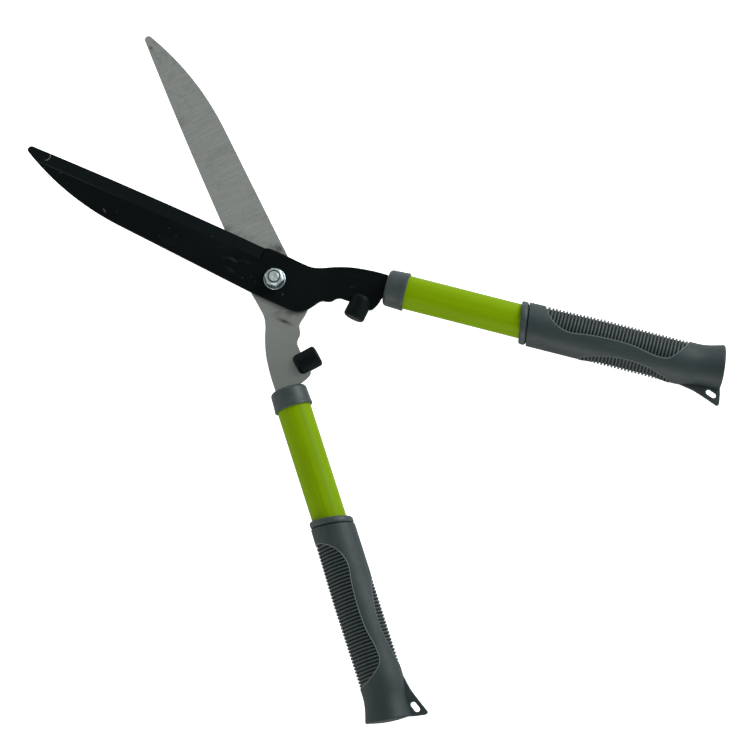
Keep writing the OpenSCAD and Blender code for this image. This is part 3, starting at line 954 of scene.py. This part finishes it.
def grip_r(s):
    """Radius of the shell at a distance along the handle, up to the waist."""
    return SHELL_R + (WAIST_R - SHELL_R) * np.clip((s - SHELL_S) / (WAIST_S - 2 - SHELL_S), 0, 1)


def arch_edge(n=40):
    """Edge of the inner window, as points across and along the handle."""
    t = np.linspace(0, 1, n + 1)
    return np.stack([-SHELL_R - 0.3 + ARCH_H * np.sin(math.pi * t), ARCH_S + ARCH_L * t], 1)


def slimming(s):
    """Share by which the grip's outer side is slimmer toward its front."""
    return SLIM * np.clip((SLIM_END - s) / SLIM_L, 0, 1)


def in_window(x, s):
    """1 where the shell is open over a point of the core, fading out just under the shell."""
    x = np.where(x > 0, x * (1 - slimming(s)), x)
    edge = curve(OUTER_EDGE, 8)
    right = np.interp(s, edge[:, 1], edge[:, 0], left=99, right=99)
    t = (s - ARCH_S) / ARCH_L
    left = -SHELL_R - 0.3 + ARCH_H * math.sin(math.pi * t) if 0 < t < 1 else -99
    return np.clip(np.maximum(x - right, left - x) / 0.5 + 1.2, 0, 1)


def slanted(shape, tilt=0.0):
    """Leans the front nearer the pivot on the outer side, slims that side, and tilts the end."""
    lean, lean_end, lean_l = 0.147, GRIP_S + 21, 12
    end_s, end_l, core_r = TUBE_END, 14, 13.1
    out = []
    for x, y, z in shape.v:
        front = np.clip((lean_end - z) / lean_l, 0, 1)
        end = np.clip((z - end_s) / end_l, 0, 1) if x * x + y * y > 1 or z > 340 else 0
        slim = slimming(z) * np.clip((math.hypot(x, y) - core_r) / 2, 0, 1) if x > 0 else 0
        out.append((x * (1 - slim), y, z - front * (0.3 + lean * x) + tilt * y * end))
    shape.v = out
    return shape


def grip_core(half, m, place):
    """Sleeve on the tube: rounded ring, a groove in painted shade, then ribs that stand up in the
    windows, with painted shade between them.
    """
    segs, root, bore = 144, 15.45, TUBE_R + FIT
    under, proud = 0.75, 0.6
    turn = np.arange(segs) * 2 * math.pi / segs
    r, s = RING_R, GRIP_S
    prof = [(bore, s + 0.3), (bore + 0.3, s), (r - 1.5, s)]
    prof += arc_points(r - 1.8, s + 1.8, 1.8, -75, 0, 8)
    prof += [(r, s + 3.6), (r - 0.12, s + 4.3), (r - 0.4, s + 4.8)]
    groove = len(prof)
    prof += [(r - 0.9, s + 5.0), (r - 1.0, s + 5.6), (15.2, s + 5.6)]
    ribs = len(prof)
    for i in range(int((RIB_END - RIB_W - RIB_S) / RIB_PITCH) + 1):
        s = RIB_S + i * RIB_PITCH
        open_here = in_window((grip_r(s) - 0.3) * np.cos(turn), s + RIB_W / 2)
        top, e = grip_r(s) - under + proud * open_here, s + RIB_W
        prof += [(root, s), (top - 0.5, s + 0.16), (top - 0.12, s + 0.36), (top, s + 0.7),
                 (top, e - 0.7), (top - 0.12, e - 0.36), (top - 0.5, e - 0.16), (root, e)]
    prof += [(root, RIB_END - 0.2), (root - 0.2, RIB_END), (bore + 0.2, RIB_END),
             (bore, RIB_END - 0.2)]

    # the groove and the valleys between the ribs take the darker plastic as painted shade
    def mat(row):
        if row < ribs:
            return 1 if row >= groove else 0
        return 0 if 1 <= (row - ribs) % 8 <= 5 else 1
    shape = slanted(revolve(prof, segs, wrap=True, mat=mat))
    return make(half + "_grip_core_ribs", shape, place, [m["slate"], m["slate_dark"]], 40)


def bent(u):
    """Place across, distance along and lean of the butt's axis, at u past the waist."""
    lean, run, n = math.radians(7.5), 12.0, 60
    start = -run / 2
    if u <= start:
        return 0.0, WAIST_S + u, 0.0
    x, s, d = 0.0, start, (u - start) / n
    for k in range(n):
        a = lean * min((k + 0.5) * d / run, 1)
        x += math.sin(a) * d
        s += math.cos(a) * d
    return x, WAIST_S + s, lean * min((u - start) / run, 1)


def shell_rows():
    """The shell's rows, along its inside to the front and back along its outside to the end."""
    bore, l = TUBE_R + FIT, GRIP_END - WAIST_S
    inner = [(0, TUBE_END + 0.5), (bore, TUBE_END + 0.5), (bore, RIB_END + 0.4)]
    inner += [(grip_r(s) - CORE_GAP, s) for s in np.linspace(RIB_END + 0.2, SHELL_S + 0.2, 14)]
    inner += [(SHELL_R - 0.4, SHELL_S + 0.02), (SHELL_R - 0.25, SHELL_S)]
    outer = [(SHELL_R - 0.08, SHELL_S + 0.12), (SHELL_R, SHELL_S + 0.35)]
    outer += [(grip_r(s), s) for s in np.linspace(SHELL_S + 1, WAIST_S - 7, 60)]
    rows = [(r, s, 0.0, 0.0) for r, s in inner + outer]
    flare = curve([(WAIST_R, -6), (WAIST_R - 0.1, 0), (16.3, 6), (15.9, 10), (15.9, 15),
                   (16.5, 20.5), (17.3, l - 2.6)], 5)
    end = [(17.5, l - 1.6), (17.52, l - 1.1), (17.4, l - 0.6), (17.1, l - 0.15), (16.5, l + 0.05),
           (15.6, l + 0.2), (15.2, l + 0.1), (14.6, l + 0.1), (14.2, l + 0.35), (11, l + 0.8),
           (7, l + 1.25), (3, l + 1.5), (0, l + 1.55)]
    for r, u in [tuple(p) for p in flare] + end:
        x, s, lean = bent(u)
        rows.append((r, s, x, lean))
    return rows


def fin():
    """Fin with the slanted hanging slot, in the plane of the two handles."""
    start, thick, hole_r = 317.6, 2.0, 2.05
    loop = curve([(-15.6, 312), (-17, 319), (-18.8, 329), (-21.8, 338), (-25, 346.5),
                  (-25.7, 348.8), (-24.9, 350.2), (-22.8, 350.4)], 8)
    loop = np.vstack([loop[loop[:, 1] > start],
                      [(-16, 349.2), (-10, 347.6), (-10, 332), (-14.2, 328), (-14.2, 318)]])
    inner, outer = np.array([(-17.3, 340.6), (-18.8, 344.7)])
    a = math.degrees(math.atan2(*(outer - inner)[::-1]))
    hole = np.array(arc_points(*outer, hole_r, a - 90, a + 90, 16)
                    + arc_points(*inner, hole_r, a + 90, a + 270, 16))
    shape = plate(resample(loop, 1.0), [hole], level(thick), -thick, 0.7, (), 5, (0, 0, 0))
    return Shape().merge(shape, ACROSS)


def window_bead(line):
    """Raised line along a window's edge, on both faces of the shell."""
    path = []
    for sign in (1, -1):
        for x, s in line if sign > 0 else line[::-1]:
            r = float(grip_r(s)) - 0.15
            wide = x / (1 - slimming(s)) if x > 0 else x
            if abs(wide) < r - 0.02:
                path.append((x, sign * math.sqrt(r * r - wide * wide), s))
    bead = sweep(cleaned(np.array(path), 0.35), 0.42, 8)
    # the bead takes the lighter bead finish, a painted highlight along the window's edge
    bead.m = [1] * len(bead.f)
    return bead


def grip_shell(half, m, place):
    """Soft shell with two windows, a flared and bent butt and the hanging fin."""
    end_rows, tilt, far = 8, 0.085, 24
    rows = shell_rows()
    face = len(rows) - end_rows
    # the butt's end face takes the darker plastic as painted shade
    shape = slanted(revolve(rows, 160, mat=lambda row: 2 if row >= face else 0),
                    tilt if half == "upper" else -tilt)
    obj = make(half + "_grip_shell_sleeve", shape, place,
               [m["grip"], m["bead"], m["slate_dark"]], 40)
    boolean(obj, fin(), "UNION")
    outer, arch = curve(OUTER_EDGE, 8), arch_edge()
    corners = [(far, OUTER_EDGE[-1][1]), (far, OUTER_EDGE[0][1])]
    boolean(obj, prism(np.vstack([outer, corners]), -25, 25))
    boolean(obj, prism(np.vstack([arch, [(-far, ARCH_S + ARCH_L), (-far, ARCH_S)]]), -25, 25))
    for line in (outer, arch):
        boolean(obj, window_bead(line), "UNION")
    return obj


# ---- pivot

SEGS = 192
TURN = np.arange(SEGS) * 2 * math.pi / SEGS
HERE = Matrix.Identity(4)


def hexagon(across):
    """Radius of a hexagon with slightly rounded corners, over the turn."""
    k = np.mod(TURN, math.pi / 3) - math.pi / 6
    return np.minimum(across / 2 / np.cos(k), across / math.sqrt(3) - 0.0525)


def nut(m):
    """Flanged nut: round flange, cone, hexagon, chamfer, groove and a neck rolled over the ring."""
    flange, neck, bore = FLANGE_R, NECK_R, BOLT_R + FIT
    z0, top, hexa = NUT_Z, NUT_Z + NUT_H, hexagon(HEX_AF)
    seat, roll, edge = top - INSERT_H, 1.0, 0.3
    prof = [(bore, z0 + 0.3), (bore + 0.3, z0), (flange - 0.5, z0)]
    prof += [(flange - 0.25 + 0.25 * math.sin(t), z0 + 0.25 - 0.25 * math.cos(t))
             for t in np.linspace(0, math.pi / 2, 4)]
    prof += [(flange, z0 + 1.0)]
    prof += [(flange - edge + edge * math.cos(t), z0 + 1.0 + edge * math.sin(t))
             for t in np.linspace(0.3, math.pi / 2, 4)]
    prof += [(np.maximum(flange - edge - (z - 1.3) * 1.9, hexa), z0 + z)
             for z in np.linspace(1.34, 2.1, 5)]
    prof += [(hexa, z0 + z) for z in (2.6, 4.2, 5.4)]
    prof += [(np.maximum(np.minimum(hexa, neck + (6.9 - z) * 1.9), neck), z0 + z)
             for z in np.linspace(5.9, 6.9, 11)]
    prof += [(neck - 0.12, z0 + 7.0), (neck - 0.12, z0 + 7.3), (neck, z0 + 7.45),
             (neck, top - 1.5)]
    prof += [(neck - roll + roll * math.cos(t), top - roll + roll * math.sin(t))
             for t in np.linspace(0.1, math.pi / 2, 8)]
    prof += [(neck - 1.35, top - 0.05), (neck - 1.5, top - 0.25), (neck - 1.5, top - 0.7),
             (neck - 1.1, top - 0.75), (neck - 1.1, seat), (bore + 0.3, seat),
             (bore, seat - 0.3)]

    # the cone and the flats take the darker zinc and the groove the darkest, as painted shade
    def tone(row):
        z = prof[row][1] - z0
        return 1 if 1.3 <= z < 6.0 and row > 8 else 2 if 6.95 <= z < 7.4 else 0
    return make("pivot_nut_flanged", revolve(prof, SEGS, wrap=True, mat=tone), HERE,
                [m["zinc"], m["zinc_dark"], m["zinc_groove"]], 28)


def insert(m):
    """Nylon ring in the nut's seat."""
    z0, r, b, h = NUT_Z + NUT_H - INSERT_H + 0.01, NECK_R - 1.13, BOLT_R + 0.02, 1.68
    prof = [(b, z0 + 0.15), (b + 0.15, z0), (r - 0.15, z0), (r, z0 + 0.15), (r, z0 + 1.5),
            (r - 0.2, z0 + h), (b + 0.35, z0 + h), (b, z0 + 1.45)]
    return make("nut_insert_ring", revolve(prof, 96, wrap=True), HERE, [m["nylon"]], 35)


def bolt(m):
    """Bolt with a chamfered hexagon head, a washer face and a thread that runs in over one turn."""
    head, r = -FACE_Z - WASHER_T, BOLT_R
    low, hexa, thread = head - HEAD_H, hexagon(HEX_AF), NUT_Z + 0.5
    prof = [(0, low + 0.35), (3.6, low + 0.35), (4.0, low), (5.6, low)]
    prof += [(np.minimum(hexa, 6.2 + z * 1.35), low + z) for z in np.linspace(0, 1.1, 12)]
    prof += [(hexa, low + 1.6), (hexa, head - 0.6), (hexa - 0.12, head - 0.25)]
    prof += [(6.3, head - 0.2), (6.3, head), (BOLT_R + FIT, head)]
    prof += [(r, head + 0.05), (r, NUT_Z + 0.4)]
    for z in np.arange(thread, BOLT_END - 0.65, 0.1):
        wave = np.abs(np.mod(z / THREAD_PITCH - TURN / (2 * math.pi), 1.0) * 2 - 1)
        deep = 0.55 * min(1.0, z - thread)
        prof.append((r - deep * np.clip(wave * 1.25 - 0.12, 0, 1), z))
    tip = len(prof) + 1
    prof += [(3.42, BOLT_END - 0.55), (3.3, BOLT_END - 0.2), (3.05, BOLT_END),
             (1.6, BOLT_END - 0.02), (1.2, BOLT_END - 0.14), (0, BOLT_END - 0.16)]
    return make("pivot_bolt_hex", revolve(prof, SEGS, mat=lambda row: 1 if row >= tip else 0),
                HERE, [m["zinc"], m["bolt_end"]], 30)


def washer(m):
    """Flat washer under the bolt's head."""
    r, b, t = WASHER_R, WASHER_BORE, WASHER_T
    z0 = -FACE_Z - t
    prof = [(b, z0 + 0.15), (b + 0.15, z0), (r - 0.25, z0), (r, z0 + 0.25), (r, z0 + t - 0.12),
            (r - 0.12, z0 + t), (b + 0.15, z0 + t), (b, z0 + t - 0.15)]
    return make("bolt_washer_disc", revolve(prof, 128, wrap=True), HERE, [m["zinc"]], 35)


def spring(m):
    """Disc spring: a low cone under the nut."""
    z0, b, r, t, h = FACE_Z + 0.02, WASHER_BORE, WASHER_R, 0.6, 0.95
    prof = [(b, z0 + h - t), (r - 0.1, z0), (r, z0 + 0.1), (r, z0 + t - 0.08),
            (r - 0.08, z0 + t), (b + 0.05, z0 + h), (b, z0 + h - 0.05)]
    return make("disc_spring_cone", revolve(prof, 128, wrap=True), HERE, [m["spring"]], 35)


# ---- the whole object

def stands_for(obj, piece, body):
    """Hides the CAD piece that an object stands for, and attaches the object to the body it moves
    with.
    """
    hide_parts(piece)
    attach(obj, body)


def build():
    m = {finish.__name__.removesuffix("_finish"): finish().mat for finish in FINISHES}
    for half in HALVES:
        handle, body = handle_place(half), half + "_half"
        stands_for(blade(half, m, half_place(half)), half + "_blade", body)
        stands_for(stop(half, m, tang_place(handle)), half + "_stop", body)
        for piece, maker in (("_collar", collar), ("_tube", tube), ("_tang_plug", plug),
                             ("_tang_pin", pin), ("_grip_core", grip_core),
                             ("_grip_shell", grip_shell)):
            stands_for(maker(half, m, handle), half + piece, body)
    for piece, maker in (("pivot_bolt", bolt), ("bolt_washer", washer), ("disc_spring", spring),
                         ("pivot_nut", nut), ("nut_insert", insert)):
        stands_for(maker(m), piece, "lower_half")


# ---- camera, light, floor

CENTRE = Vector((0, -0.05, 0))      # where the lights point, near the middle of the object


def camera():
    """Camera nearly square over the shears, turned so that the blades point up and left."""
    pitch, roll, yaw = math.radians(-12.133), math.radians(-2.082), math.radians(44.53)
    turn = (Matrix.Rotation(roll, 4, "Y") @ Matrix.Rotation(pitch, 4, "X")
            @ Matrix.Rotation(yaw, 4, "Z"))
    cam = added("camera", bpy.data.cameras.new("camera"))
    cam.matrix_world = turn.transposed() @ Matrix.Translation((0.076588, -0.072461, 2.00003))
    cam.data.lens = 125.224
    cam.data.sensor_width = 36
    cam.data.clip_end = 20
    bpy.context.scene.camera = cam
    return cam


def area_light(name, cam, way, size, power, colour):
    """Soft light in a direction given by the camera's right, up and back, looking at the object."""
    way = (cam.matrix_world.to_3x3() @ Vector(way)).normalized()
    data = bpy.data.lights.new(name, "AREA")
    data.shape = "RECTANGLE"
    data.size, data.size_y = size
    data.energy, data.color = power, colour
    obj = added(name, data)
    obj.location = CENTRE + way * 1.6
    obj.rotation_euler = way.to_track_quat("Z", "Y").to_euler()


def studio():
    """White all round: stronger from the sides than from above, and plain white to the camera."""
    world = bpy.data.worlds.new("studio")
    bpy.context.scene.world = world
    bpy.context.scene.view_settings.view_transform = "Standard"
    world.use_nodes = True
    tree = world.node_tree
    way = node(tree, "ShaderNodeTexCoord").outputs["Generated"]
    height = node(tree, "ShaderNodeSeparateXYZ", Vector=way).outputs["Z"]
    pick = node(tree, "ShaderNodeMix")
    feed(tree, pick.inputs[0], node(tree, "ShaderNodeLightPath").outputs["Is Camera Ray"])
    feed(tree, pick.inputs[2], ramp(tree, height, 0.1, 0.95, 1.15, 0.27))
    feed(tree, pick.inputs[3], 1.0)
    back = tree.nodes["Background"]
    feed(tree, back.inputs["Color"], (1, 1, 1, 1))
    feed(tree, back.inputs["Strength"], pick.outputs[0])


def floor():
    """Pale floor just under the object, plain white to the camera."""
    low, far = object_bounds()[0][2] - 0.001, 6
    mesh = bpy.data.meshes.new("floor")
    mesh.from_pydata([(-far, -far, low), (far, -far, low), (far, far, low), (-far, far, low)],
                     [], [(0, 1, 2, 3)])
    mat = bpy.data.materials.new("floor_white")
    mat.use_nodes = True
    tree = mat.node_tree
    seen = node(tree, "ShaderNodeLightPath").outputs["Is Camera Ray"]
    for key, value in (("Base Color", (0.9, 0.9, 0.9, 1)), ("Roughness", 0.9),
                       ("Emission Color", (1, 1, 1, 1)), ("Emission Strength", seen)):
        feed(tree, tree.nodes["Principled BSDF"].inputs[key], value)
    mesh.materials.append(mat)
    added("floor", mesh)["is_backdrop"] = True


build()
view = camera()
studio()
area_light("key", view, (0.8, 0.7, 0.45), (1.1, 1.1), 22, (1.0, 1.0, 1.0))
area_light("fill", view, (-0.1, -1.0, 0.2), (1.4, 0.9), 21, (1.0, 0.93, 0.85))
floor()
